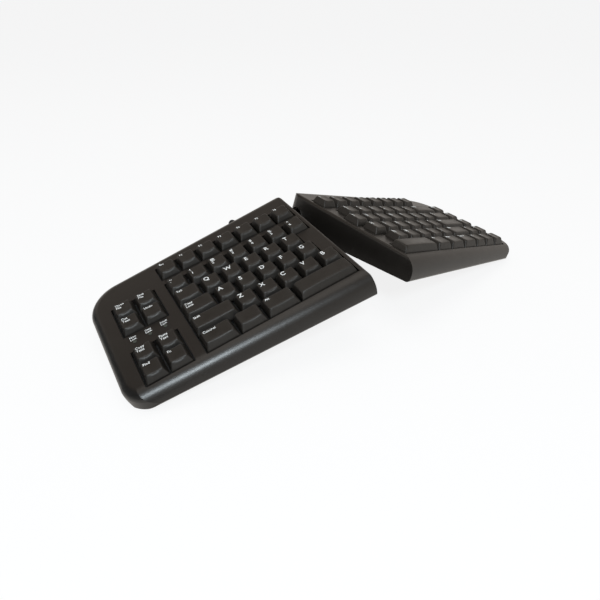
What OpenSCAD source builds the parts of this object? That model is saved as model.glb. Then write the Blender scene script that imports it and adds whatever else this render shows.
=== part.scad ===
// Ergonomic split keyboard: two wedge-shaped halves on one lockable ball joint.
// Each half is drawn in its own base frame: x runs outward from the joint, y to the back, z up from
// the underside. Its keys lie in the deck frame, tilted up to the back, with z = 0 on the deck.

/* [Posture] */
// Slope of each half's underside down from the middle, in degrees
tent = 13.25; // [8:0.25:14]
// Turn of each half away from a straight row, in degrees
splay = 6.5; // [2:0.5:14]
// Rise of the key plane towards the back, in degrees
key_slope = 5; // [3:0.5:5]
// Further slope of the key plane, down from the middle, in degrees
deck_lean = 1.75; // [0.5:0.25:2]

/* [Case] */
// Width of the case outside the keys
outer_margin = 17.5; // [16:0.5:30]
// Depth of the case in front of the keys, at the inner wall
front_margin = 15.2; // [14.5:0.1:20]
// Slant of the front edge, with the case shallower at its outer end, in degrees
front_slant = 1.75; // [0:0.25:2]
// How far the case reaches behind the joint, at the inner wall
back_reach = 12.6; // [12:0.2:15]
// Slant of the back edge, with the case shallower at its outer end, in degrees
back_slant = 5; // [2:0.25:5.25]
// Height of the deck above the underside, at the joint
deck_height = 33; // [33:0.5:40]
// Space between the inner wall and the middle plane
wall_gap = 4.3; // [4.3:0.1:6]
// Radius of the rolled front edge
nose_r = 14; // [12:0.5:15]
// Radius under the nose
under_r = 4; // [3:0.5:5]
// Radius of the rolled back and outer edges
edge_r = 8; // [6:0.5:10]
// Radius of the small edge along the inner wall
inner_edge_r = 2.5; // [1:0.5:3]
// Plan radius of the outer back corner
back_corner_r = 32; // [24:1:36]
// Plan radius of the outer front corner
front_corner_r = 24; // [18:1:28]
// Plan radius of the inner back corner
inner_corner_r = 12.5; // [10:0.5:14]
// Thickness of the case walls
wall = 2.5; // [2:0.1:3]
// Thickness of the deck
deck_t = 3; // [2.5:0.1:3.5]
// Width of the sloping cut under the outer side
undercut_w = 4; // [3:0.5:5]
// Height of the sloping cut under the outer side
undercut_h = 9; // [7:0.5:11]
// Width of the relief at the inner wall's foot, beside and behind the joint
relief_w = 2; // [1.6:0.1:2.2]
// Height of that relief
relief_h = 10; // [8:0.5:11]
// Thickness of the base plate
base_t = 2.2; // [2:0.1:2.5]
// Thickness of the rubber feet
foot_t = 1.5; // [1.2:0.1:3]

/* [Keys] */
// Distance from one key to the next
pitch = 19.05; // [18.5:0.05:19.3]
// Space between the inner wall and the first key cell
inner_margin = 4.9; // [4.6:0.1:7]
// Distance from the joint forward to the number row
number_row = 48; // [47:0.5:49]
// Distance from the number row back to the function row
function_row = 25.5; // [24.5:0.1:26]
// Space left between two caps
cap_gap = 1.05; // [0.6:0.05:1.4]
// Height of the cap tops above the deck
cap_rise = 5.5; // [4.5:0.1:7]
// Depth of the cap skirts below the deck
cap_skirt = 1.5; // [1:0.1:2]
// How far each cap side leans in
side_lean = 2.7; // [2:0.1:3.5]
// How far the front of a cap leans in
front_lean = 3.4; // [2:0.1:4]
// How far the back of a cap leans in
back_lean = 1.6; // [1:0.1:2.5]
// Depth of the hollow in a cap top
dish = 0.7; // [0.3:0.1:1]
// Wall of a cap
cap_wall = 1.3; // [1:0.1:1.6]
// Side of the square key stem
stem_w = 5; // [4:0.1:6]
// Clearance of a stem in the key guide
stem_fit = 0.1; // [0.05:0.05:0.3]
// Travel of a key
travel = 3.5; // [2.5:0.1:3.8]
// Border of a deck opening round its key cells
opening_border = 0.4; // [0.2:0.1:0.8]

/* [Key layers] */
// Space left under the skirt of a key that is down
guide_clear = 0.5; // [0.4:0.1:0.8]
// Thickness of the key guide
guide_t = 1.4; // [1.2:0.1:1.7]
// Height that a rubber dome keeps when its key is down
dome_spare = 0.4; // [0.3:0.1:0.7]
// Radius of a dome at its foot
dome_r = 5; // [4.5:0.1:6]
// Thickness of the rubber dome sheet
sheet_t = 0.5; // [0.4:0.1:0.8]
// Thickness of the contact membrane
membrane_t = 0.3; // [0.2:0.1:0.5]
// Thickness of the steel backing plate
plate_t = 0.6; // [0.5:0.1:0.8]

/* [Joint] */
// Height of the ball's centre above the underside
hinge_height = 11; // [11:0.5:12]
// Radius of the ball
ball_r = 5.5; // [5:0.1:5.6]
// Radius of the liner round the ball
liner_r = 7; // [6.8:0.1:7.2]
// Radius of the sockets round the liner
socket_r = 9.5; // [9:0.1:9.8]
// Radius of the neck that carries the right half
neck_r = 3; // [2.5:0.1:3.2]
// Running clearance in the ball joint
ball_fit = 0.06; // [0.03:0.01:0.1]
// Clearance between the joint and the case
case_fit = 0.5; // [0.3:0.1:0.8]
// How far the sockets reach past the middle plane
socket_lip = 2; // [1:0.1:2.4]
// Length of the lock lever, from its pin
lever_length = 24; // [18:1:26]
// Radius of the lock lever's pin
lever_pin_r = 1.6; // [1.2:0.1:2]

/* [Small parts] */
// Radius of the screw bosses
boss_r = 2.6; // [2.3:0.1:2.7]
// Radius of a screw's shank
screw_r = 1.2; // [0.9:0.1:1.4]
// Radius of the indicator lenses
lens_r = 1.5; // [1:0.1:2]
// Radius of the cord gland's collar
gland_r = 4.5; // [4:0.1:5]
// Radius of the gland's bore
gland_bore_r = 2.2; // [1.5:0.1:2.6]
// Space between the lock lever's pocket and the gland's flange
gland_gap = 0.5; // [0.3:0.1:30]

/* [Hidden] */
$fn = 64;

// Each run of caps: row (0 is the function row), distance of its inner edge from the block's inner
// edge and the widths of its caps outward, both in key pitches
left_function = [0, 0, [1, 1, 1, 1, 1, 1]];
escape = [0, 6, [1]];
left_number = [1, 0, [1, 1, 1, 1, 1, 1, 1]];
left_upper = [2, 0.75, [1, 1, 1, 1, 1]];
tab = [2, 5.75, [1.25]];
left_home = [3, 0.5, [1, 1, 1, 1, 1]];
caps_lock = [3, 5.5, [1.5]];
left_lower = [4, 0, [1, 1, 1, 1, 1]];
left_shift = [4, 5, [2]];
left_space = [5, 0, [2.75]];
left_alt = [5, 2.75, [1.5]];
system = [5, 4.25, [1.25]];
left_control = [5, 5.5, [1.5]];
side_upper = [[1, 7.5, [1, 1]], [2, 7.5, [1, 1]]];
side_lower = [[4, 7.5, [1, 1]], [5, 7.5, [1, 1]]];
left_runs = [left_function, escape, left_number, left_upper, tab, left_home, caps_lock, left_lower,
    left_shift, left_space, left_alt, system, left_control, each side_upper, each side_lower];
right_function = [0, 0, [1, 1, 1, 1, 1, 1, 1, 1]];
right_number = [1, 0.5, [1, 1, 1, 1, 1, 1]];
backspace = [1, 6.5, [2]];
right_upper = [2, 0, [1, 1, 1, 1, 1, 1, 1]];
backslash = [2, 7, [1.5]];
right_home = [3, 0.25, [1, 1, 1, 1, 1, 1]];
enter = [3, 6.25, [2.25]];
right_lower = [4, 0.75, [1, 1, 1, 1, 1]];
right_shift = [4, 5.75, [1.75]];
right_space = [5, 0, [2.75]];
right_alt = [5, 2.75, [1.25]];
menu = [5, 4, [1.25]];
right_control = [5, 5.25, [1.25]];
page = [[1, 8.5, [1]], [2, 8.5, [1]], [3, 8.5, [1]], [4, 8.5, [1]]];
arrow = [[4, 7.5, [1]], [5, 6.5, [1, 1, 1]]];
right_runs = [right_function, right_number, backspace, right_upper, backslash, right_home, enter,
    right_lower, right_shift, right_space, right_alt, menu, right_control, each page, each arrow];

function row_y(row) = row == 0 ? function_row - number_row : -number_row - (row - 1) * pitch;
function before(widths, i) = i == 0 ? 0 : widths[i - 1] + before(widths, i - 1);
function run_width(run) = before(run[2], len(run[2])) * pitch;

// Overcut, and a length past every face of the part
cut = 1;
far = 400;

// Plan limits of a half, its depth taken at the inner wall
block_w = 9.5 * pitch;
x_in = wall_gap;
key_in = x_in + inner_margin;
x_out = key_in + block_w + outer_margin;
y_back = back_reach;
y_front = row_y(5) - pitch / 2 - front_margin;
half_width = x_out - x_in;
wall_foot = (x_in - deck_height * sin(deck_lean)) / cos(deck_lean);

// Places on the slanted back and front edges at x, and on lines inside them
function back_at(x, inside = 0) = y_back - (x - x_in) * tan(back_slant) - inside / cos(back_slant);
function front_at(x, inside = 0) = y_front + (x - x_in) * tan(front_slant) + inside / cos(front_slant);
back_out = back_at(x_out);
front_out = front_at(x_out);

// Rounds of the corners: how far a round's middle lies inside its sides, and how far along them, where
// one side is turned outward by bend. A round between sides that aren't square meets them at corner_ease.
corner_ease = 3;
function round_in(r, bend) = bend == 0 ? r : r * cos(corner_ease);
function round_reach(r, bend) = round_in(r, bend) * (1 - sin(bend)) / cos(bend);
back_corner = [x_out - round_in(back_corner_r, back_slant),
    back_out - round_reach(back_corner_r, back_slant)];
front_corner = [x_out - round_in(front_corner_r, front_slant),
    front_out + round_reach(front_corner_r, front_slant)];

// Layers under the caps, as heights in the deck frame
stem_past = 0.4;
dome_gap = 0.05;
dome_taper = 0.62;
dome_h = travel + dome_spare;
guide_top = -cap_skirt - travel - guide_clear;
stem_end = guide_top - guide_t - stem_past;
dome_top = stem_end - dome_gap;
sheet_top = dome_top - dome_h;
membrane_top = sheet_top - sheet_t;
plate_top = membrane_top - membrane_t;
plate_bottom = plate_top - plate_t;
guide_rim = 2;
layer_border = 1;
layer_fit = 0.3;
layer_front = row_y(5) - pitch / 2 - layer_border;
layer_back = row_y(0) + pitch / 2 + layer_border;
layer_size = [block_w + 2 * layer_border, layer_back - layer_front];

// Inside of the case, with two steps that follow the nose
low_wall = 1.5;
nose_skin = 2;
nose_step = under_r + nose_skin;
nose_roof = nose_r - sqrt(pow(nose_r - wall, 2) - pow(nose_r - nose_step, 2));
deck_step = nose_r - sqrt(max(0, pow(nose_r - wall, 2) - pow(nose_r - deck_t, 2)));
cavity_x = x_out - undercut_w - low_wall;
back_skin = 1.8 * wall;
body_depth = 2 * deck_height;
opening_skirt = 1.5;
base_fit = 0.2;

// Feet, in the base frame
foot_inset = 2;
foot_corner = 2;
foot_size = [10, 26];
foot_edge = cavity_x - foot_inset;
inner_foot_x = x_in + wall + 3 * foot_inset;
front_foot_y = front_out + front_corner_r + foot_inset;
back_foot_y = back_out - back_corner_r - foot_size[1] - foot_inset;

// Screws and their bosses, in the base frame: two outside the keys, two in the strip between the
// function and number rows and one in a step of the key block
boss_step = 9;
strip_y = (row_y(0) + row_y(1)) / 2;
outer_boss_x = (key_in + block_w + layer_border + cavity_x) / 2;
step_boss_x = key_in + left_upper[1] * pitch / 2 - opening_border;
outer_bosses = [[outer_boss_x, back_out - back_corner_r - boss_step],
    [outer_boss_x, front_out + front_corner_r + boss_step]];
strip_bosses = [[key_in + 2 * pitch, strip_y], [key_in + 6 * pitch, strip_y]];
left_bosses = [each outer_bosses, each strip_bosses, [step_boss_x, row_y(left_upper[0])]];
right_bosses = [each outer_bosses, each strip_bosses, [step_boss_x, row_y(right_lower[0])]];
boss_clear = 0.5;
thread_fit = 0.05;
hole_fit = 0.3;
screw_grip = 7.5;
head_r = screw_r + 1.2;
head_t = 1.4;

// Ribs of the base under the backing plate
rib_t = 2;
rib_x = key_in + 1.2 * pitch;
rib_length = block_w - 1.8 * pitch;
rib_rows = [strip_y, row_y(3) + pitch / 4, row_y(5) + pitch / 4];

// Controller board on four posts of the base; its parts as place, then size
board_size = [70, 28, 1.6];
board_rise = 4.5;
board_at = [key_in + 2.6 * pitch, row_y(2) - 9, board_rise];
board_parts = [[[28, 8], [14, 12, 1.6]], [[54, 5], [9, 7, 1.8]], [[8, 22], [22, 4, 2.4]]];
post_r = 2.5;
post_inset = [5, 4];

// Indicator lenses in the deck, between the side keys
lens_fit = 0.05;
lens_proud = 0.3;

// Lock lever in a pocket of the left half's back wall
lever_in = 12;
lever_x = key_in + lever_in;
lever_sink = 2.6;
lever_y = y_back - lever_sink;
lever_z = 7.5;
lever_h = 11;
lever_boss_r = 4;
lever_t = 4;
lever_play = 0.5;
tip_space = 2;
pocket_wall = 1.5;
pocket_depth = 14;
pin_fit = 0.02;
pin_grip = 1.2;

// Cord gland in the left half's back wall
gland_z = -2 * gland_r - 1;
gland_fit = 0.1;
flange = [gland_r + 1.5, 2];
gland_x = lever_x + lever_length + tip_space + lever_play + pocket_wall + gland_gap + flange[0];
sleeve = back_skin + 3;
sleeve_tip = [gland_r - 1.2, 5];
groove = 0.9;
grooves = [1, 3, 5];

// Ball joint: sockets on the left base, stud on the right base
socket_block = [7.5, 18, 12];
socket_split = 0.1;
slot_fit = 0.3;
neck_length = 18;
stud_x = 14;
stud_block = [15, 16, hinge_height + neck_r + 0.6 - base_t];

// Place of the joint in the row, so that the part stands on its feet about its own middle
hinge_z = foot_edge * sin(tent) + (hinge_height + foot_t) * cos(tent);
deck_tilt = tent + deck_lean;
back_way = [sin(splay) * cos(deck_tilt),
    cos(splay) * cos(key_slope) + sin(splay) * sin(deck_tilt) * sin(key_slope),
    sin(splay) * sin(deck_tilt) * cos(key_slope) - cos(splay) * sin(key_slope)];
function depth_at(x, y) = (deck_height - x * sin(deck_lean)) / (cos(deck_lean) * cos(key_slope))
    + y * tan(key_slope);
reach_back = back_way * [each back_corner, -depth_at(back_corner[0], back_out)]
    + back_corner_r * norm([back_way[0], back_way[1]]);
reach_front = back_way * [x_in, y_front + nose_r, -nose_r] - nose_r * norm([back_way[1], back_way[2]]);
hinge_y = -(reach_back + reach_front) / 2 - (deck_height - hinge_height) * sin(splay) * sin(tent);

case_colour = [0.16, 0.15, 0.145];
base_colour = [0.12, 0.12, 0.12];
key_colour = [0.1, 0.1, 0.1];
guide_colour = [0.2, 0.2, 0.21];
rubber_colour = [0.62, 0.6, 0.55];
film_colour = [0.75, 0.72, 0.6];
steel_colour = [0.7, 0.71, 0.73];
board_colour = [0.1, 0.35, 0.2];
black_rubber = [0.07, 0.07, 0.07];
lens_colour = [0.3, 0.5, 0.3];
liner_colour = [0.85, 0.84, 0.8];

// Frames
module on_right()
    translate([0, hinge_y, hinge_z]) rotate([0, tent, splay])
        translate([0, 0, -hinge_height]) children();

module on_left() mirror([1, 0, 0]) on_right() children();

module on_swivel() translate([0, hinge_y, hinge_z]) rotate([0, 0, splay]) children();

module on_deck() translate([0, 0, deck_height]) rotate([key_slope, deck_lean, 0]) children();

module on_edge(y, slant) translate([x_in, y, 0]) rotate(slant) translate([-x_in, -y, 0]) children();

module on_back() on_edge(y_back, -back_slant) children();

module on_front() on_edge(y_front, front_slant) children();

module at_ball() translate([0, 0, hinge_height]) children();

module at_keys(run)
    for (i = [0 : len(run[2]) - 1]) {
        $key_w = run[2][i] * pitch - cap_gap;
        translate([key_in + (run[1] + before(run[2], i) + run[2][i] / 2) * pitch, row_y(run[0]), 0])
            children();
    }

// What a rounded corner at the origin leaves off, with the material below and left of it and its upper
// side turned outward by bend
module round_off(r, bend = 0) {
    middle = [-round_in(r, bend), -round_reach(r, bend)];
    difference() {
        polygon([middle, [cut, middle[1]], [cut, cut], middle + (r + cut) * [sin(bend), cos(bend)]]);
        translate(middle) circle(r);
    }
}

module plan_corner(x, y, r, turn) translate([x, y]) rotate(turn) round_off(r);

// Case: a plan between two walls, at a distance inside the front and back edges
module half_plan(left, right, front, back, back_r, front_r, inner_r)
    difference() {
        intersection() {
            translate([left, -far]) square([right - left, 2 * far]);
            on_back() translate([-far, y_back - back - 2 * far]) square(2 * far);
            on_front() translate([-far, y_front + front]) square(2 * far);
        }
        translate([right, back_at(right, back)]) round_off(back_r, back_slant);
        translate([right, front_at(right, front)]) mirror([0, 1]) round_off(front_r, front_slant);
        translate([left, back_at(left, back)]) mirror([1, 0]) round_off(inner_r, -back_slant);
    }

// A profile drawn in y and z, swept along x
module along_x() translate([-far / 2, 0, 0]) rotate([90, 0, 90]) linear_extrude(2 * far) children();

// The rolled edge that the back, the outer side and their corners share
module rolled_edge() {
    on_back() translate([x_in - edge_r, y_back, 0]) rotate([90, 0, 90])
        linear_extrude(half_width - back_corner_r / 2) round_off(edge_r);
    translate([x_out, back_corner[1] + edge_r, 0]) rotate([90, 0, 0])
        linear_extrude(back_corner[1] - front_corner[1] + 2 * edge_r) round_off(edge_r);
    translate(back_corner) rotate_extrude(angle = 90 - back_slant)
        translate([back_corner_r, 0]) round_off(edge_r);
    translate(front_corner) rotate(front_slant - 90) rotate_extrude(angle = 90 - front_slant)
        translate([front_corner_r / cos(corner_ease), 0]) round_off(edge_r);
}

// A profile swept along the edge where the front face meets the underside
module under_edge() {
    depth = [depth_at(x_in, y_front), depth_at(x_out, front_out)];
    inner = y_front * cos(key_slope) + depth[0] * sin(key_slope);
    outer = front_out * cos(key_slope) + depth[1] * sin(key_slope);
    translate([x_in, inner, 0]) rotate(atan((outer - inner) / half_width))
        along_x() rotate(-90) mirror([0, 1]) children();
}

module case_body()
    difference() {
        on_deck() difference() {
            translate([0, 0, -body_depth]) linear_extrude(body_depth)
                half_plan(x_in, x_out, 0, 0, back_corner_r, front_corner_r, inner_corner_r);
            rolled_edge();
            on_front() along_x() translate([y_front, 0]) mirror([1, 0]) round_off(nose_r);
            translate([x_in, far, 0]) rotate([90, 0, 0]) linear_extrude(2 * far)
                mirror([1, 0]) round_off(inner_edge_r);
        }
        translate([-far, -far, -far]) cube([2 * far, 2 * far, far]);
        under_edge() round_off(under_r, key_slope);
        translate([x_out, far, 0]) rotate([90, 0, 0]) linear_extrude(2 * far)
            polygon([[-undercut_w, -cut], [-undercut_w, 0], [0, undercut_h], [cut, undercut_h], [cut, -cut]]);
        translate([wall_foot, far - socket_r, 0]) rotate([90, 0, 0]) linear_extrude(far)
            polygon([[relief_w, -cut], [relief_w, 0], [-cut, relief_h * (1 + cut / relief_w)], [-cut, -cut]]);
    }

module cavity_plan(front, inset)
    half_plan(x_in + wall + inset, cavity_x - inset, front + inset, back_skin + inset,
        back_corner_r - wall, front_corner_r - under_r, inner_corner_r - wall);

// Everything inside the case walls, as a prism square to the deck
module inside_prism(inset)
    on_deck() translate([0, 0, -body_depth]) linear_extrude(body_depth) cavity_plan(nose_step, inset);

// Room for the key layers between two heights
module layer_room(low, high)
    translate([key_in - layer_border - layer_fit, layer_front - layer_fit, low])
        cube([layer_size[0] + 2 * layer_fit, layer_size[1] + 2 * layer_fit, high - low]);

module case_cavity()
    on_deck() {
        translate([0, 0, -nose_roof - cut]) linear_extrude(nose_roof + cut - deck_t)
            cavity_plan(deck_step, 0);
        translate([0, 0, -body_depth]) linear_extrude(body_depth - nose_roof)
            cavity_plan(nose_step, 0);
        layer_room(-body_depth, guide_top + layer_fit);
    }

module run_cell(run, grow, low, high)
    translate([key_in + run[1] * pitch - grow, row_y(run[0]) - pitch / 2 - grow, low])
        cube([run_width(run) + 2 * grow, pitch + 2 * grow, high - low]);

module bosses(places, r, low, high)
    for (p = places) translate([p[0], p[1], low]) cylinder(r = r, h = high - low);

// The first child is added inside the case, the second is cut from it
module cover(runs, places, joint_r)
    difference() {
        union() {
            difference() {
                case_body();
                case_cavity();
            }
            intersection() {
                case_body();
                union() {
                    bosses(places, boss_r, base_t, deck_height + cut);
                    on_deck() for (run = runs)
                        run_cell(run, opening_border + opening_skirt, guide_top + layer_fit, -deck_t / 2);
                    if ($children > 0) children(0);
                }
            }
        }
        on_deck() for (run = runs) run_cell(run, opening_border, -body_depth, cut);
        bosses(places, screw_r + thread_fit, base_t - cut, base_t + screw_grip + cut);
        at_ball() sphere(joint_r);
        if ($children > 1) children(1);
    }

module ribs(places)
    difference() {
        for (y = rib_rows) translate([rib_x, y - rib_t / 2, base_t / 2])
            cube([rib_length, rib_t, deck_height]);
        on_deck() translate([0, -far, plate_bottom]) cube([far, 2 * far, far]);
        bosses(places, boss_r + boss_clear, base_t, deck_height);
    }

module base(places, joint_r)
    difference() {
        union() {
            difference() {
                intersection() {
                    inside_prism(base_fit);
                    translate([0, -far, 0]) cube([far, 2 * far, base_t]);
                }
                on_deck() layer_room(plate_bottom - layer_fit, guide_top);
            }
            ribs(places);
            children();
        }
        bosses(places, screw_r + hole_fit, -cut, base_t + cut);
        bosses(places, head_r + hole_fit, -cut, head_t);
        at_ball() sphere(joint_r);
    }

module screws(places)
    color(steel_colour) for (p = places) translate([p[0], p[1], 0]) {
        cylinder(r = head_r, h = head_t);
        cylinder(r = screw_r, h = base_t + screw_grip);
    }

module foot()
    linear_extrude(foot_t) difference() {
        square(foot_size);
        plan_corner(0, 0, foot_corner, 180);
        plan_corner(foot_size[0], 0, foot_corner, -90);
        plan_corner(0, foot_size[1], foot_corner, 90);
        plan_corner(foot_size[0], foot_size[1], foot_corner, 0);
    }

module feet()
    color(black_rubber) for (x = [inner_foot_x, foot_edge - foot_size[0]], y = [front_foot_y, back_foot_y])
        translate([x, y, -foot_t]) foot();

// Key layers
module layer(places, low, high)
    difference() {
        on_deck() translate([key_in - layer_border, layer_front, low])
            cube([layer_size[0], layer_size[1], high - low]);
        bosses(places, boss_r + boss_clear, base_t, deck_height);
    }

// The guide stands on its rim, and the stems slide in its square holes
module key_guide(runs, places)
    color(guide_colour) difference() {
        layer(places, sheet_top, guide_top);
        on_deck() translate([key_in - layer_border + guide_rim, layer_front + guide_rim, sheet_top - cut])
            cube([layer_size[0] - 2 * guide_rim, layer_size[1] - 2 * guide_rim,
                guide_top - guide_t - sheet_top + cut]);
        on_deck() for (run = runs) at_keys(run) translate([0, 0, guide_top])
            cube([stem_w + 2 * stem_fit, stem_w + 2 * stem_fit, 3 * guide_t], center = true);
    }

module dome_sheet(runs, places)
    color(rubber_colour) union() {
        layer(places, membrane_top, sheet_top);
        on_deck() for (run = runs) at_keys(run) translate([0, 0, sheet_top - sheet_t / 2])
            cylinder(r1 = dome_r, r2 = dome_taper * dome_r, h = dome_h + sheet_t / 2);
    }

// Caps: a hollow frustum with a dished top, on a square stem
module frustum(w, d, low, high, side, front, back)
    intersection() {
        rotate([90, 0, 0]) linear_extrude(d + 2, center = true)
            polygon([[-w / 2, low], [w / 2, low], [w / 2 - side, high], [side - w / 2, high]]);
        translate([-w / 2 - 1, 0, 0]) rotate([90, 0, 90]) linear_extrude(w + 2)
            polygon([[-d / 2, low], [d / 2, low], [d / 2 - back, high], [front - d / 2, high]]);
    }

module cap(bar) {
    d = pitch - cap_gap;
    top_w = $key_w - 2 * side_lean;
    dish_r = (top_w * top_w / 4 + dish * dish) / (2 * dish);
    inside = cap_rise - dish - cap_wall;
    hollow = [$key_w - 2 * cap_wall, d - 2 * cap_wall];
    difference() {
        frustum($key_w, d, -cap_skirt, cap_rise, side_lean, front_lean, back_lean);
        frustum(hollow[0], hollow[1], -cap_skirt - cut, inside, side_lean, front_lean, back_lean);
        if (!bar) translate([0, 0, cap_rise + dish_r - dish]) rotate([90, 0, 0])
            cylinder(r = dish_r, h = 2 * pitch, center = true, $fn = 720);
    }
    translate([-stem_w / 2, -stem_w / 2, stem_end])
        cube([stem_w, stem_w, inside + cap_wall / 2 - stem_end]);
}

module caps(run, bar = false) color(key_colour) on_deck() at_keys(run) cap(bar);

// Left half
module left_cover() color(case_colour) on_left() cover(left_runs, left_bosses, socket_r + case_fit) {
    lever_pocket(pocket_wall, pocket_depth);
    union() {
        lever_pocket(0, far);
        lever_pin_shape(pin_fit);
        on_deck() on_back() translate([gland_x, y_back - 2 * back_skin, gland_z]) rotate([-90, 0, 0])
            cylinder(r = gland_r + gland_fit, h = far);
        on_deck() lens_places() translate([0, 0, -2 * deck_t])
            cylinder(r = lens_r + lens_fit, h = 4 * deck_t);
    }
}

module left_base() color(base_colour) on_left() base(left_bosses, socket_r + case_fit)
    for (x = [post_inset[0], board_size[0] - post_inset[0]],
            y = [post_inset[1], board_size[1] - post_inset[1]])
        translate([board_at[0] + x, board_at[1] + y, base_t / 2])
            cylinder(r = post_r, h = board_rise - base_t / 2);

module left_key_guide() on_left() key_guide(left_runs, left_bosses);

module left_dome_sheet() on_left() dome_sheet(left_runs, left_bosses);

module left_membrane() color(film_colour) on_left() layer(left_bosses, plate_top, membrane_top);

module left_backing_plate() color(steel_colour) on_left() layer(left_bosses, plate_bottom, plate_top);

module controller_board() color(board_colour) on_left() translate(board_at) {
    cube(board_size);
    for (p = board_parts) translate([p[0][0], p[0][1], board_size[2] / 2])
        cube([p[1][0], p[1][1], p[1][2] + board_size[2] / 2]);
}

module lens_places()
    for (i = [0 : 2])
        translate([key_in + (side_upper[0][1] + (2 * i + 1) / 3) * pitch, row_y(3), 0]) children();

module indicator_lenses() color(lens_colour) on_left() on_deck() lens_places()
    translate([0, 0, -deck_t]) cylinder(r = lens_r, h = deck_t + lens_proud);

module left_feet() on_left() feet();

module left_screws() on_left() screws(left_bosses);

// Collar in the back wall for the cord, with a flange inside and a narrowing sleeve outside
module cord_gland() color(black_rubber) on_left() on_deck() on_back()
    translate([gland_x, y_back - back_skin, gland_z]) rotate([-90, 0, 0]) difference() {
        union() {
            translate([0, 0, -flange[1]]) cylinder(r = flange[0], h = flange[1]);
            cylinder(r = gland_r, h = sleeve);
            translate([0, 0, sleeve]) cylinder(r1 = gland_r, r2 = sleeve_tip[0], h = sleeve_tip[1]);
        }
        translate([0, 0, -flange[1] - cut])
            cylinder(r = gland_bore_r, h = flange[1] + sleeve + sleeve_tip[1] + 2 * cut);
        for (z = grooves) translate([0, 0, back_skin + z]) difference() {
            cylinder(r = gland_r + cut, h = groove);
            cylinder(r = gland_r - groove, h = groove);
        }
    }

// Ball joint: two socket halves in the left half clamp a liner round the ball
module socket(side)
    color(steel_colour) on_left() difference() {
        intersection() {
            union() {
                at_ball() sphere(socket_r);
                intersection() {
                    translate([x_in + wall, -socket_block[1] / 2, base_t]) cube(socket_block);
                    inside_prism(layer_fit);
                }
            }
            translate([-socket_lip, side > 0 ? socket_split : -socket_split - far, base_t - cut]) cube(far);
        }
        at_ball() sphere(liner_r + ball_fit);
    }

module socket_front() socket(-1);

module socket_rear() socket(1);

module lever_pocket(skin, depth) {
    room = lever_play + skin;
    on_back() translate([lever_x - lever_boss_r - room, lever_y - lever_boss_r - room, lever_z - room])
        cube([lever_boss_r + lever_length + tip_space + 2 * room, depth, lever_h + 2 * room]);
}

module lever_pin_shape(fit)
    on_back() translate([lever_x, lever_y, lever_z - lever_play - pin_grip - fit])
        cylinder(r = lever_pin_r + fit, h = lever_h + 2 * (lever_play + pin_grip + fit));

module lever_pin() color(steel_colour) on_left() lever_pin_shape(0);

module lock_lever()
    color(key_colour) on_left() on_back() translate([lever_x, lever_y, lever_z]) difference() {
        union() {
            cylinder(r = lever_boss_r, h = lever_h);
            translate([0, lever_boss_r - lever_t, 0]) cube([lever_length - lever_t / 2, lever_t, lever_h]);
            translate([lever_length - lever_t / 2, lever_boss_r - lever_t / 2, 0])
                cylinder(r = lever_t / 2, h = lever_h);
        }
        translate([0, 0, -cut]) cylinder(r = lever_pin_r + ball_fit, h = lever_h + 2 * cut);
    }

module ball_liner() color(liner_colour) on_swivel() difference() {
    slot_z = liner_r * sin(tent) + neck_r / cos(tent) + case_fit;
    slot_y = neck_r + slot_fit;
    rotate([0, 90, 0]) rotate_extrude() difference() {
        circle(liner_r);
        circle(ball_r + ball_fit);
        translate([-far, -far / 2]) square(far);
    }
    translate([0, -slot_y, -slot_z]) cube([2 * liner_r, 2 * slot_y, 2 * slot_z]);
}

// Right half
module ball_stud() color(steel_colour) on_right() {
    at_ball() rotate([0, 90, 0]) rotate_extrude() intersection() {
        union() {
            circle(ball_r);
            translate([-neck_r, 0]) square([2 * neck_r, neck_length]);
        }
        translate([0, -far]) square(2 * far);
    }
    intersection() {
        translate([stud_x, -stud_block[1] / 2, base_t]) cube(stud_block);
        inside_prism(layer_fit);
    }
}

module right_cover() color(case_colour) on_right() cover(right_runs, right_bosses, socket_r + 2 * case_fit);

module right_base() color(base_colour) on_right() base(right_bosses, socket_r + 2 * case_fit);

module right_key_guide() on_right() key_guide(right_runs, right_bosses);

module right_dome_sheet() on_right() dome_sheet(right_runs, right_bosses);

module right_membrane() color(film_colour) on_right() layer(right_bosses, plate_top, membrane_top);

module right_backing_plate() color(steel_colour) on_right() layer(right_bosses, plate_bottom, plate_top);

module right_feet() on_right() feet();

module right_screws() on_right() screws(right_bosses);

// Keys of the left half
module escape_key() on_left() caps(escape);
module left_function_keys() on_left() caps(left_function);
module left_number_keys() on_left() caps(left_number);
module tab_key() on_left() caps(tab);
module left_upper_keys() on_left() caps(left_upper);
module caps_lock_key() on_left() caps(caps_lock);
module left_home_keys() on_left() caps(left_home);
module left_shift_key() on_left() caps(left_shift);
module left_lower_keys() on_left() caps(left_lower);
module left_control_key() on_left() caps(left_control);
module system_key() on_left() caps(system);
module left_alt_key() on_left() caps(left_alt);
module left_space_key() on_left() caps(left_space, true);
module side_upper_keys() on_left() for (run = side_upper) caps(run);
module side_lower_keys() on_left() for (run = side_lower) caps(run);

// Keys of the right half
module right_function_keys() on_right() caps(right_function);
module right_number_keys() on_right() caps(right_number);
module backspace_key() on_right() caps(backspace);
module right_upper_keys() on_right() caps(right_upper);
module backslash_key() on_right() caps(backslash);
module right_home_keys() on_right() caps(right_home);
module enter_key() on_right() caps(enter);
module right_lower_keys() on_right() caps(right_lower);
module right_shift_key() on_right() caps(right_shift);
module right_space_key() on_right() caps(right_space, true);
module right_alt_key() on_right() caps(right_alt);
module menu_key() on_right() caps(menu);
module right_control_key() on_right() caps(right_control);
module page_keys() on_right() for (run = page) caps(run);
module arrow_keys() on_right() for (run = arrow) caps(run);

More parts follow.
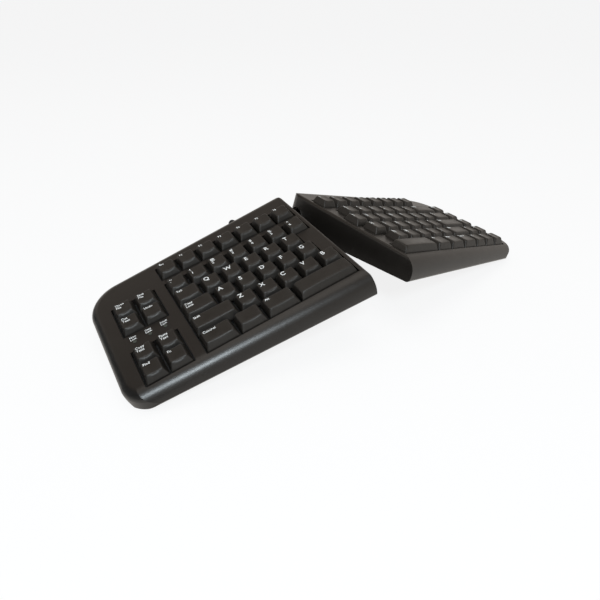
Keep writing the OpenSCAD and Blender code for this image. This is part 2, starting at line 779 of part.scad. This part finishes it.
left_cover();
left_base();
left_key_guide();
left_dome_sheet();
left_membrane();
left_backing_plate();
controller_board();
indicator_lenses();
left_feet();
left_screws();
cord_gland();
socket_front();
socket_rear();
lever_pin();
lock_lever();
ball_liner();
right_cover();
right_base();
right_key_guide();
right_dome_sheet();
right_membrane();
right_backing_plate();
right_feet();
right_screws();
ball_stud();
escape_key();
left_function_keys();
left_number_keys();
tab_key();
left_upper_keys();
caps_lock_key();
left_home_keys();
left_shift_key();
left_lower_keys();
left_control_key();
system_key();
left_alt_key();
left_space_key();
side_upper_keys();
side_lower_keys();
right_function_keys();
right_number_keys();
backspace_key();
right_upper_keys();
backslash_key();
right_home_keys();
enter_key();
right_lower_keys();
right_shift_key();
right_space_key();
right_alt_key();
menu_key();
right_control_key();
page_keys();
arrow_keys();
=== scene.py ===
import math

import bmesh
import bpy
from mathutils import Matrix, Vector


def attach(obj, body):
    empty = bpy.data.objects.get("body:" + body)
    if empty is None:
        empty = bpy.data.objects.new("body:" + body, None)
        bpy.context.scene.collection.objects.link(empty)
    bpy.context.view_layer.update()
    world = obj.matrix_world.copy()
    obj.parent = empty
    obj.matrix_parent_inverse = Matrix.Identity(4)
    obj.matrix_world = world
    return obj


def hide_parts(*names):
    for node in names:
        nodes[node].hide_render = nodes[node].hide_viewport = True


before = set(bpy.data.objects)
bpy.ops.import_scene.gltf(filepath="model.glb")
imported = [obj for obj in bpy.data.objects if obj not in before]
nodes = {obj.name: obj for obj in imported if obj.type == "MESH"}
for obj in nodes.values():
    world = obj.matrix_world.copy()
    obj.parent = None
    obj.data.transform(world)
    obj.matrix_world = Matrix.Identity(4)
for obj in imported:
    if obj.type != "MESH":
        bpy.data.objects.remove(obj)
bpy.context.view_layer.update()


# The base plates close each half from below. They are moulded in black ABS with a coarse
# spark texture, and ribs on their inner side carry the backing plates.
class Wire:
    """A socket in a shader tree that takes part in Python expressions."""

    def __init__(self, tree, socket=None):
        self.tree, self.socket = tree, socket

    def make(self, kind, settings=(), values=(), out=0):
        node = self.tree.nodes.new("ShaderNode" + kind)
        for name, value in dict(settings).items():
            if name == "stops":
                ramp = node.color_ramp.elements
                while len(ramp) < len(value):
                    ramp.new(0.5)
                for stop, (place, colour) in zip(ramp, value):
                    stop.position, stop.color = place, (*colour, 1)
            else:
                setattr(node, name, value)
        for name, value in dict(values).items():
            if isinstance(value, Wire):
                self.tree.links.new(value.socket, node.inputs[name])
            else:
                node.inputs[name].default_value = value
        return Wire(self.tree, node.outputs[out])

    def math(self, operation, *terms):
        return self.make("Math", {"operation": operation}, dict(enumerate(terms)))

    def __add__(self, other):
        return self.math("ADD", self, other)

    def __sub__(self, other):
        return self.math("SUBTRACT", self, other)

    def __rsub__(self, other):
        return self.math("SUBTRACT", other, self)

    def __mul__(self, other):
        return self.math("MULTIPLY", self, other)

    __radd__ = __add__
    __rmul__ = __mul__


def finish(name, **constants):
    """A material with its shader's constant values set; returns it with a wire and the shader."""
    material = bpy.data.materials.new(name)
    material.use_nodes = True
    tree = material.node_tree
    shader = tree.nodes["Principled BSDF"]
    for key, value in constants.items():
        shader.inputs[key.replace("_", " ")].default_value = value
    return material, Wire(tree), shader


def feed(wire, shader, **inputs):
    """Links what varies over the surface to the shader."""
    for key, value in inputs.items():
        wire.tree.links.new(value.socket, shader.inputs[key.replace("_", " ")])


def noise(wire, at, scale, detail=3.0, roughness=0.55):
    return wire.make("TexNoise", {}, {"Vector": at, "Scale": scale, "Detail": detail,
                                      "Roughness": roughness})


def tint(wire, mask, dark, light):
    """A colour between dark and light, by a mask that stays near its middle."""
    return wire.make("ValToRGB", {"stops": ((0.3, dark), (0.7, light))}, {0: mask})


def moulded(name, dark, light, roughness, spread, grain, depth, specular=0.5):
    """Moulded plastic: a spark-eroded grain, faint flow marks in the colour and handled patches."""
    material, wire, shader = finish(name, Specular_IOR_Level=specular)
    at = wire.make("TexCoord", out=3)
    pits = noise(wire, at, grain, 2.0)
    cells = wire.make("TexVoronoi", {"feature": "SMOOTH_F1"},
                      {"Vector": at, "Scale": 0.6 * grain, "Smoothness": 0.6})
    flow = noise(wire, at, 38.0, 4.0)
    handled = noise(wire, at, 90.0, 3.0, 0.65)
    bump = wire.make("Bump", {}, {"Height": 0.6 * pits + 0.4 * cells, "Strength": 0.55, "Distance": depth})
    feed(wire, shader, Base_Color=tint(wire, 0.7 * flow + 0.3 * pits, dark, light),
         Roughness=(handled - 0.5) * spread + roughness, Normal=bump)
    return material


def dress(material, *names):
    """Gives CAD pieces their finish."""
    for name in names:
        slots = nodes[name].data.materials
        slots.clear()
        slots.append(material)


base_plastic = moulded("base_plastic", (0.010, 0.010, 0.010), (0.017, 0.016, 0.016),
                       0.62, 0.10, 2600.0, 0.00010)
dress(base_plastic, "left_base", "right_base")


# Four rubber feet under each half, die-cut from black sheet and glued into place.
# Their skin is dull and picks up grey dust.
rubber, wire, shader = finish("foot_rubber", Specular_IOR_Level=0.3)
at = wire.make("TexCoord", out=3)
dust = noise(wire, at, 420.0, 5.0, 0.7)
feed(wire, shader, Base_Color=tint(wire, dust, (0.010, 0.010, 0.010), (0.030, 0.029, 0.028)),
     Roughness=0.25 * dust + 0.66,
     Normal=wire.make("Bump", {}, {"Height": noise(wire, at, 3500.0), "Strength": 0.4, "Distance": 0.0001}))
dress(rubber, "left_feet", "right_feet", "cord_gland")


# Self-tapping screws and the lever's pin, turned from steel and zinc plated.
# The ball stud and its two sockets are machined steel with fine turning marks.
def metal(name, dark, light, roughness, scale):
    """Bare or plated steel: fine lines from its tool, under smears from handling."""
    material, wire, shader = finish(name, Metallic=1.0)
    at = wire.make("TexCoord", out=3)
    across = wire.make("Mapping", {}, {"Vector": at, "Scale": (1.0, 1.0, 14.0)})
    lines = noise(wire, across, scale, 3.0)
    smears = noise(wire, at, 160.0, 4.0)
    feed(wire, shader, Base_Color=tint(wire, 0.5 * lines + 0.5 * smears, dark, light),
         Roughness=0.2 * lines + 0.15 * smears + roughness,
         Normal=wire.make("Bump", {}, {"Height": lines, "Strength": 0.25, "Distance": 0.00005}))
    return material


zinc = metal("screw_steel", (0.42, 0.43, 0.45), (0.60, 0.61, 0.62), 0.18, 900.0)
machined = metal("joint_steel", (0.38, 0.38, 0.39), (0.55, 0.55, 0.56), 0.12, 700.0)
dress(zinc, "left_screws", "right_screws", "lever_pin")
dress(machined, "socket_front", "socket_rear", "ball_stud")


# The liner between ball and sockets is cut from natural acetal, which is slippery
# and slightly waxy.
liner = moulded("liner_plastic", (0.60, 0.59, 0.55), (0.72, 0.71, 0.67), 0.38, 0.12, 1500.0, 0.00003)
dress(liner, "ball_liner")


# Under the caps lie the key guide, the rubber domes, the printed membrane and a
# galvanised steel plate. Only the guide's top shows, as a dark floor between the caps.
guide = moulded("key_guide", (0.009, 0.009, 0.0095), (0.016, 0.016, 0.017), 0.6, 0.1, 2200.0, 0.00008)
silicone = moulded("dome_rubber", (0.50, 0.48, 0.43), (0.62, 0.60, 0.54), 0.5, 0.15, 1200.0, 0.00004, 0.4)
film = moulded("membrane_film", (0.66, 0.63, 0.52), (0.78, 0.75, 0.63), 0.3, 0.1, 800.0, 0.00002)
plate = metal("plate_steel", (0.40, 0.41, 0.43), (0.60, 0.61, 0.63), 0.25, 60.0)
dress(guide, "left_key_guide", "right_key_guide")
dress(silicone, "left_dome_sheet", "right_dome_sheet")
dress(film, "left_membrane", "right_membrane")
dress(plate, "left_backing_plate", "right_backing_plate")


# The controller board is a green-lacquered laminate with its chips and connector.
# Copper tracks show faintly through the lacquer.
board, wire, shader = finish("board", Coat_Weight=0.4, Roughness=0.4)
at = wire.make("TexCoord", out=3)
tracks = wire.make("TexBrick", {}, {"Vector": at, "Scale": 260.0, "Mortar Size": 0.06}, out=1)
feed(wire, shader, Base_Color=tint(wire, tracks, (0.02, 0.10, 0.04), (0.05, 0.19, 0.09)),
     Normal=wire.make("Bump", {}, {"Height": tracks, "Strength": 0.3, "Distance": 0.0001}))
dress(board, "controller_board")


# The covers are the visible shells: charcoal ABS from one mould each, satin on the deck,
# with a fine even grain. The rolled nose and the deck are polished a little by hands.
case_plastic = moulded("case", (0.0064, 0.0054, 0.0045), (0.0096, 0.0082, 0.0069),
                       0.33, 0.10, 2400.0, 0.00006)
dress(case_plastic, "left_cover", "right_cover")


# Three indicator windows sit in the deck between the side keys: clear green-tinted
# acrylic rods, unlit.
lens, wire, shader = finish("lens", Roughness=0.12, Coat_Weight=0.6)
at = wire.make("TexCoord", out=3)
haze = noise(wire, at, 700.0, 3.0)
feed(wire, shader, Base_Color=tint(wire, haze, (0.030, 0.036, 0.030), (0.060, 0.070, 0.060)),
     Normal=wire.make("Bump", {}, {"Height": haze, "Strength": 0.15, "Distance": 0.00005}))
dress(lens, "indicator_lenses")


# The lock lever swings out of a pocket in the left half's back wall. It is black ABS,
# a little glossier than the case.
lever = moulded("lever_plastic", (0.012, 0.012, 0.012), (0.018, 0.018, 0.018), 0.42, 0.1, 2600.0, 0.00006)
dress(lever, "lock_lever")


# Keycaps: hollow black ABS frusta on square stems, with rounded edges, a shallow dish
# along each cap and a crown on the space bars. Fingers polish the middle of the tops.
pitch, deck_height, hinge_height = 0.01905, 0.033, 0.011
tent, deck_lean, splay, key_slope = (math.radians(a) for a in (13.25, 1.75, 6.5, 5))
hinge = Vector((0, 0.06343782, 0.05804743))
key_in, number_row, function_row = 0.0092, 0.048, 0.0255
cap_gap, cap_rise, cap_skirt, cap_wall = 0.00105, 0.0055, 0.0015, 0.0013
cap_edge, edge_start, skirt_ease = 0.0009, 0.84, 0.00015
dish, narrow_half, bar_crown = 0.0006, 0.0063, 0.0004
side_lean, front_lean, back_lean = 0.0027, 0.0034, 0.0016
inner_round, roof_share = 0.0005, 0.75
stem_w, stem_end, stem_sink = 0.005, -0.0073, 0.0003


def deck_frame(side):
    """The deck plane of one half: x to the right along the rows, y to the back, z out of the deck."""
    return (Matrix.Translation(hinge) @ Matrix.Rotation(side * splay, 4, "Z")
            @ Matrix.Rotation(side * tent, 4, "Y")
            @ Matrix.Translation((0, 0, deck_height - hinge_height))
            @ Matrix.Rotation(side * deck_lean, 4, "Y") @ Matrix.Rotation(key_slope, 4, "X"))


def row_y(row):
    """Middle of a key row on the deck; row 0 is the function row."""
    return function_row - number_row if row == 0 else -number_row - (row - 1) * pitch


def cap_top(x, half, bar):
    """Height of a cap's top at x across it: hollow on a key, crowned on a space bar."""
    part = min(1.0, abs(x) / half) ** 2
    if bar:
        return cap_rise - bar_crown * part
    return cap_rise - dish * min(1.0, narrow_half / half) * (1 - part)


def cap_ring(bm, low, high, back, front, radius, height, along=6, corner=5):
    """One closed ring of a cap: a rounded rectangle, with points along its long sides."""
    corners = [(high - radius, back - radius, 0), (low + radius, back - radius, 90),
               (low + radius, front + radius, 180), (high - radius, front + radius, 270)]
    points = []
    for i, (x, y, start) in enumerate(corners):
        for k in range(corner + 1):
            a = math.radians(start + 90 * k / corner)
            points.append((x + radius * math.cos(a), y + radius * math.sin(a)))
        nx, ny, turn = corners[(i + 1) % 4]
        a = math.radians(start + 90)
        ex, ey = x + radius * math.cos(a), y + radius * math.sin(a)
        fx, fy = nx + radius * math.cos(a), ny + radius * math.sin(a)
        steps = along * 2 if i % 2 == 0 else along
        points += [(ex + (fx - ex) * k / steps, ey + (fy - ey) * k / steps) for k in range(1, steps)]
    return [bm.verts.new((x, y, height(x, y))) for x, y in points]


def join(bm, a, b):
    """Faces between two rings of a cap."""
    for i in range(len(a)):
        j = (i + 1) % len(a)
        bm.faces.new((a[i], a[j], b[j], b[i])).smooth = True


def add_cap(bm, width, bar, place):
    """One cap with its stem, set down by place; its top is marked as rubbed toward the middle."""
    first = len(bm.verts)
    rubbed = bm.verts.layers.float["rubbed"]
    half_w, half_d = width / 2, (pitch - cap_gap) / 2
    tall = cap_rise + cap_skirt
    top_half = half_w - side_lean

    def bounds_at(t, inset=0.0):
        return (-half_w + side_lean * t + inset, half_w - side_lean * t - inset,
                half_d - back_lean * t - inset, -half_d + front_lean * t + inset)

    rings = []
    for t in (0.0, 0.04, 0.3, 0.6, edge_start):
        radius = 0.0007 + 0.0011 * t
        z = -cap_skirt + t * tall
        inset = skirt_ease if t == 0 else 0
        rings.append(cap_ring(bm, *bounds_at(t, inset), radius, lambda x, y, z=z: z))
    for k in range(1, 6):
        a = math.radians(90 * k / 5)
        inset = cap_edge * (1 - math.cos(a))
        t = edge_start + (1 - edge_start) * math.sin(a)
        drop = cap_edge * 0.9 * (1 - math.sin(a))
        rings.append(cap_ring(bm, *bounds_at(t, inset), 0.0018 - 0.3 * inset,
                              lambda x, y, drop=drop: cap_top(x, top_half, bar) - drop))
    low, high, back, front = bounds_at(1, cap_edge)
    mid_y = (back + front) / 2
    for share in (0.8, 0.55, 0.3, 0.1):
        rings.append(cap_ring(bm, low * share, high * share, mid_y + (back - mid_y) * share,
                              mid_y + (front - mid_y) * share, 0.0015 * share,
                              lambda x, y: cap_top(x, top_half, bar)))
        for v in rings[-1]:
            v[rubbed] = 1 - 0.9 * share ** 2
    for a, b in zip(rings, rings[1:]):
        join(bm, a, b)
    bm.faces.new(rings[-1]).smooth = True
    inner = [cap_ring(bm, *bounds_at(0, cap_wall), inner_round, lambda x, y: -cap_skirt)]
    roof = cap_rise - dish - cap_wall
    inner.append(cap_ring(bm, *bounds_at(roof_share, cap_wall), inner_round, lambda x, y: roof))
    join(bm, inner[0], rings[0])
    join(bm, inner[1], inner[0])
    bm.faces.new(list(reversed(inner[1])))
    s = stem_w / 2
    square = ((1, 1), (-1, 1), (-1, -1), (1, -1))
    ends = (stem_end, roof + stem_sink)
    stem = [[bm.verts.new((x * s, y * s, z)) for x, y in square] for z in ends]
    for i in range(4):
        j = (i + 1) % 4
        bm.faces.new((stem[0][i], stem[0][j], stem[1][j], stem[1][i]))
    bm.faces.new(list(reversed(stem[0])))
    bm.faces.new(stem[1])
    bm.verts.ensure_lookup_table()
    bmesh.ops.transform(bm, matrix=place, verts=bm.verts[first:])


# Each group of keys as: half, row, distance of its inner edge from the block's inner edge in
# key pitches, and the keys as read from left to right, each with its width and legends.
side_in = 7.5
keys = {
    "escape_key": (-1, [(0, 6, [(1, "Esc")])]),
    "left_function_keys": (-1, [(0, 0, [(1, f"F{i}") for i in range(1, 7)])]),
    "left_number_keys": (-1, [(1, 0, [(1, t) for t in ("~/`", "!/1", "@/2", "#/3", "$/4", "%/5", "^/6")])]),
    "tab_key": (-1, [(2, 5.75, [(1.25, "Tab")])]),
    "left_upper_keys": (-1, [(2, 0.75, [(1, t) for t in "QWERT"])]),
    "caps_lock_key": (-1, [(3, 5.5, [(1.5, "Caps/Lock")])]),
    "left_home_keys": (-1, [(3, 0.5, [(1, t) for t in "ASDFG"])]),
    "left_shift_key": (-1, [(4, 5, [(2, "Shift")])]),
    "left_lower_keys": (-1, [(4, 0, [(1, t) for t in "ZXCVB"])]),
    "left_control_key": (-1, [(5, 5.5, [(1.5, "Control")])]),
    "system_key": (-1, [(5, 4.25, [(1.25, "")])]),
    "left_alt_key": (-1, [(5, 2.75, [(1.5, "Alt")])]),
    "left_space_key": (-1, [(5, 0, [(2.75, "")])]),
    "side_upper_keys": (-1, [(1, side_in, [(1, "Open/File"), (1, "Save/File")]),
                             (2, side_in, [(1, "Cut/Text"), (1, "Undo")])]),
    "side_lower_keys": (-1, [(4, side_in, [(1, "Copy/Text"), (1, "Paste/Text")]),
                             (5, side_in, [(1, "Find"), (1, "Fn")])]),
    "right_function_keys": (1, [(0, 0, [(1, t) for t in (
        "F7", "F8", "F9", "F10", "F11", "F12", "Ins", "Del")])]),
    "right_number_keys": (1, [(1, 0.5, [(1, t) for t in ("&/7", "*/8", "(/9", ")/0", "_/-", "+/=")])]),
    "backspace_key": (1, [(1, 6.5, [(2, "Backspace")])]),
    "right_upper_keys": (1, [(2, 0, [(1, t) for t in ("Y", "U", "I", "O", "P", "{/[", "}/]")])]),
    "backslash_key": (1, [(2, 7, [(1.5, "|/\\")])]),
    "right_home_keys": (1, [(3, 0.25, [(1, t) for t in ("H", "J", "K", "L", ":/;", "\"/'")])]),
    "enter_key": (1, [(3, 6.25, [(2.25, "Enter")])]),
    "right_lower_keys": (1, [(4, 0.75, [(1, t) for t in ("N", "M", "</,", ">/.", "?//")])]),
    "right_shift_key": (1, [(4, 5.75, [(1.75, "Shift")])]),
    "right_space_key": (1, [(5, 0, [(2.75, "")])]),
    "right_alt_key": (1, [(5, 2.75, [(1.25, "Alt")])]),
    "menu_key": (1, [(5, 4, [(1.25, "Menu")])]),
    "right_control_key": (1, [(5, 5.25, [(1.25, "Control")])]),
    "page_keys": (1, [(row, 8.5, [(1, t)]) for row, t in (
        (1, "Home"), (2, "Pg Up"), (3, "Pg Dn"), (4, "End"))]),
    "arrow_keys": (1, [(4, 7.5, [(1, "^")]), (5, 6.5, [(1, "<"), (1, "v"), (1, ">")])]),
}


def key_places(name):
    """Each key of a group: its place in the row frame, its width and its legend."""
    side, runs = keys[name]
    for row, inner, caps in runs:
        total = sum(w for w, legend in caps)
        start = key_in + inner * pitch if side > 0 else -key_in - (inner + total) * pitch
        for w, legend in caps:
            place = deck_frame(side) @ Matrix.Translation((start + w * pitch / 2, row_y(row), 0))
            yield place, w * pitch - cap_gap, legend
            start += w * pitch


key_plastic, wire, shader = finish("key_plastic", Specular_IOR_Level=0.45)
at = wire.make("TexCoord", out=3)
pits = noise(wire, at, 3000.0, 2.0)
patches = noise(wire, at, 170.0, 3.0, 0.6)
rubbed = wire.make("Attribute", {"attribute_name": "rubbed"}, out="Fac")
shade = tint(wire, 0.6 * patches + 0.4 * pits, (0.0088, 0.0075, 0.0060), (0.0134, 0.0116, 0.0095))
grain = pits * (1.0 - 0.7 * rubbed)
feed(wire, shader, Base_Color=shade, Roughness=(patches - 0.5) * 0.16 - 0.12 * rubbed + 0.46,
     Normal=wire.make("Bump", {}, {"Height": grain, "Strength": 0.4, "Distance": 0.00006}))

for name, (side, runs) in keys.items():
    bm = bmesh.new()
    bm.verts.layers.float.new("rubbed")
    for place, width, legend in key_places(name):
        add_cap(bm, width, "space" in name, place)
    bmesh.ops.recalc_face_normals(bm, faces=bm.faces)
    mesh = bpy.data.meshes.new(name + "_caps")
    bm.to_mesh(mesh)
    bm.free()
    mesh.materials.append(key_plastic)
    piece = bpy.data.objects.new(name + "_caps", mesh)
    bpy.context.scene.collection.objects.link(piece)
    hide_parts(name)
    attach(piece, name)


# Legends: plain white letters, figures and key words, pad-printed at the back left of each cap
# in a slightly raised, dull ink. Two short words stand behind each indicator lens.
ink, wire, shader = finish("legend_ink", Specular_IOR_Level=0.3)
at = wire.make("TexCoord", out=3)
worn = noise(wire, at, 1400.0, 3.0, 0.7)
ink_rise, ink_spread = 0.0001, 0.014
letter_size, pair_size, word_size, lens_word_size = 0.0060, 0.0042, 0.0032, 0.0026
letter_height, line_step = 0.72, 1.02
legend_in, legend_back = 0.0011, 0.0064
feed(wire, shader, Base_Color=tint(wire, worn, (0.74, 0.74, 0.72), (0.86, 0.86, 0.84)),
     Roughness=0.3 * worn + 0.45,
     Normal=wire.make("Bump", {}, {"Height": worn, "Strength": 0.2, "Distance": 0.00003}))


def print_words(bm, words, size, x, y, height, place):
    """Lays words of raised ink on a surface: left edge at x, baseline at y, following its height."""
    curve = bpy.data.curves.new("words", "FONT")
    curve.body, curve.size, curve.resolution_u = words, size, 3
    curve.offset, curve.extrude = ink_spread * size, ink_rise / 2
    holder = bpy.data.objects.new("words", curve)
    mesh = bpy.data.meshes.new_from_object(holder)
    word = bmesh.new()
    word.from_mesh(mesh)
    bmesh.ops.remove_doubles(word, verts=word.verts, dist=0.000002)
    for v in word.verts:
        across = v.co.x + x
        v.co = place @ Vector((across, v.co.y + y, height(across) + v.co.z + ink_rise / 2))
    word.to_mesh(mesh)
    word.free()
    bm.from_mesh(mesh)
    bpy.data.objects.remove(holder)
    bpy.data.meshes.remove(mesh)
    bpy.data.curves.remove(curve)


def add_print(bm, name, body):
    """Makes one piece of all the words on a body."""
    mesh = bpy.data.meshes.new(name)
    bm.to_mesh(mesh)
    mesh.materials.append(ink)
    piece = bpy.data.objects.new(name, mesh)
    bpy.context.scene.collection.objects.link(piece)
    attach(piece, body)


for name, (side, runs) in keys.items():
    bm = bmesh.new()
    for place, width, legend in key_places(name):
        half = width / 2 - side_lean
        lines = legend.split("/", 1)
        size = word_size
        if all(len(t) == 1 for t in lines):
            size = letter_size if len(lines) == 1 else pair_size
        y = legend_back - letter_height * size
        for words in lines:
            if words:
                print_words(bm, words, size, -half + legend_in, y,
                            lambda x: cap_top(x, half, False), place)
            y -= line_step * size
    if len(bm.verts):
        add_print(bm, name + "_legends", name)
    bm.free()

bm = bmesh.new()
for i, word in enumerate(("Scroll", "Caps", "Num")):
    lens_x = -key_in - (side_in + (2 * i + 1) / 3) * pitch
    place = deck_frame(-1) @ Matrix.Translation((lens_x, row_y(3), 0))
    for words, y in ((word, 0.0050), ("Lock", 0.0024)):
        print_words(bm, words, lens_word_size, -0.0029, y, lambda x: 0.0, place)
add_print(bm, "indicator_words", "left_half")
bm.free()


# Studio: a pale floor and wall, a broad warm softbox overhead, a small cool one at the front
# left, a low grey card that keeps the floor out of the left edge's reflections, and a camera
# where the photograph was taken from.
def backdrop_rays(wire):
    """1 for the rays that show the background: seen straight, mirrored or through something clear."""
    seen, mirrored, through = (wire.make("LightPath", out=name) for name in (
        "Is Camera Ray", "Is Glossy Ray", "Is Transmission Ray"))
    return wire.math("MAXIMUM", wire.math("MAXIMUM", seen, mirrored), through)


floor_mesh = bpy.data.meshes.new("floor")
reach = 40
floor_corners = [(-reach, -reach, 0), (reach, -reach, 0), (reach, reach, 0), (-reach, reach, 0)]
floor_mesh.from_pydata(floor_corners, [], [(0, 1, 2, 3)])
floor = bpy.data.objects.new("floor", floor_mesh)
bpy.context.scene.collection.objects.link(floor)
pale, wire, shader = finish("floor", Base_Color=(0.94, 0.94, 0.94, 1), Roughness=0.9)
seen = wire.make("LightPath", out="Is Camera Ray")
shown = wire.make("Mix", {"data_type": "RGBA"},
                  {0: seen, 6: (0.84, 0.79, 0.73, 1), 7: (1, 1, 1, 1)}, out=2)
glow = wire.make("Emission", {}, {"Color": shown, "Strength": 1.0})
lit_floor = Wire(wire.tree, shader.outputs[0])
mixed = wire.make("MixShader", {}, {0: backdrop_rays(wire) * 0.85, 1: lit_floor, 2: glow})
wire.tree.links.new(mixed.socket, wire.tree.nodes["Material Output"].inputs[0])
floor_mesh.materials.append(pale)

world = bpy.data.worlds.new("studio")
bpy.context.scene.world = world
world.use_nodes = True
sky = Wire(world.node_tree)
room = sky.make("Background", {}, {"Color": (0.80, 0.82, 0.86, 1), "Strength": 0.5})
height = sky.make("SeparateXYZ", {}, {0: sky.make("TexCoord", out="Generated")}, out="Z")
wall = sky.make("ValToRGB", {"stops": ((0.08, (0.86, 0.80, 0.74)), (0.7, (0.32, 0.26, 0.215)))},
                {0: height})
seen = sky.make("LightPath", out="Is Camera Ray")
plain = sky.make("Mix", {"data_type": "RGBA"}, {0: seen, 6: wall, 7: (0.95, 0.95, 0.95, 1)}, out=2)
backdrop = sky.make("Background", {}, {"Color": plain, "Strength": 1.0})
both = sky.make("MixShader", {}, {0: backdrop_rays(sky), 1: room, 2: backdrop})
world.node_tree.links.new(both.socket, world.node_tree.nodes["World Output"].inputs[0])


def softbox(name, at, aim, size, power, colour):
    """An even rectangular lamp that faces a point."""
    light = bpy.data.lights.new(name, "AREA")
    light.shape, light.energy, light.color = "RECTANGLE", power, colour
    light.size, light.size_y = size
    lamp = bpy.data.objects.new(name, light)
    lamp.location = at
    lamp.rotation_euler = (Vector(aim) - Vector(at)).to_track_quat("-Z", "Y").to_euler()
    bpy.context.scene.collection.objects.link(lamp)


softbox("overhead", (-0.1, 0.1, 1.5), (-0.05, 0, 0), (1.4, 1.0), 5, (1.0, 0.94, 0.87))
softbox("front_left", (-0.57, -0.96, 1.04), (-0.15, -0.06, 0.03), (0.3, 0.3), 13, (0.84, 0.94, 1.0))

card_mesh = bpy.data.meshes.new("dark_card")
card_x, card_half, card_height = -0.24, 0.5, 0.05
card_corners = [(card_x, -card_half, 0), (card_x, card_half, 0),
                (card_x, card_half, card_height), (card_x, -card_half, card_height)]
card_mesh.from_pydata(card_corners, [], [(0, 1, 2, 3)])
card = bpy.data.objects.new("dark_card", card_mesh)
bpy.context.scene.collection.objects.link(card)
card.visible_camera = card.visible_diffuse = card.visible_shadow = False
felt, wire, shader = finish("card_felt", Base_Color=(0.35, 0.35, 0.35, 1), Roughness=0.95)
card_mesh.materials.append(felt)

yaw, pitch_down, roll = (math.radians(a) for a in (35.631, 32.334, -0.622))
level = math.cos(pitch_down)
ahead = Vector((math.sin(yaw) * level, math.cos(yaw) * level, -math.sin(pitch_down)))
flat_right = Vector((math.cos(yaw), -math.sin(yaw), 0))
flat_down = ahead.cross(flat_right)
right = math.cos(roll) * flat_right + math.sin(roll) * flat_down
down = -math.sin(roll) * flat_right + math.cos(roll) * flat_down
camera = bpy.data.objects.new("camera", bpy.data.cameras.new("camera"))
camera.data.lens, camera.data.sensor_width = 31.294, 36
camera.data.clip_start = 0.01
turned = Matrix((right, -down, -ahead)).transposed().to_4x4()
camera.matrix_world = Matrix.Translation((-0.27244, -0.33234, 0.26474)) @ turned
bpy.context.scene.collection.objects.link(camera)
bpy.context.scene.camera = camera
bpy.context.scene.view_settings.view_transform = "Standard"
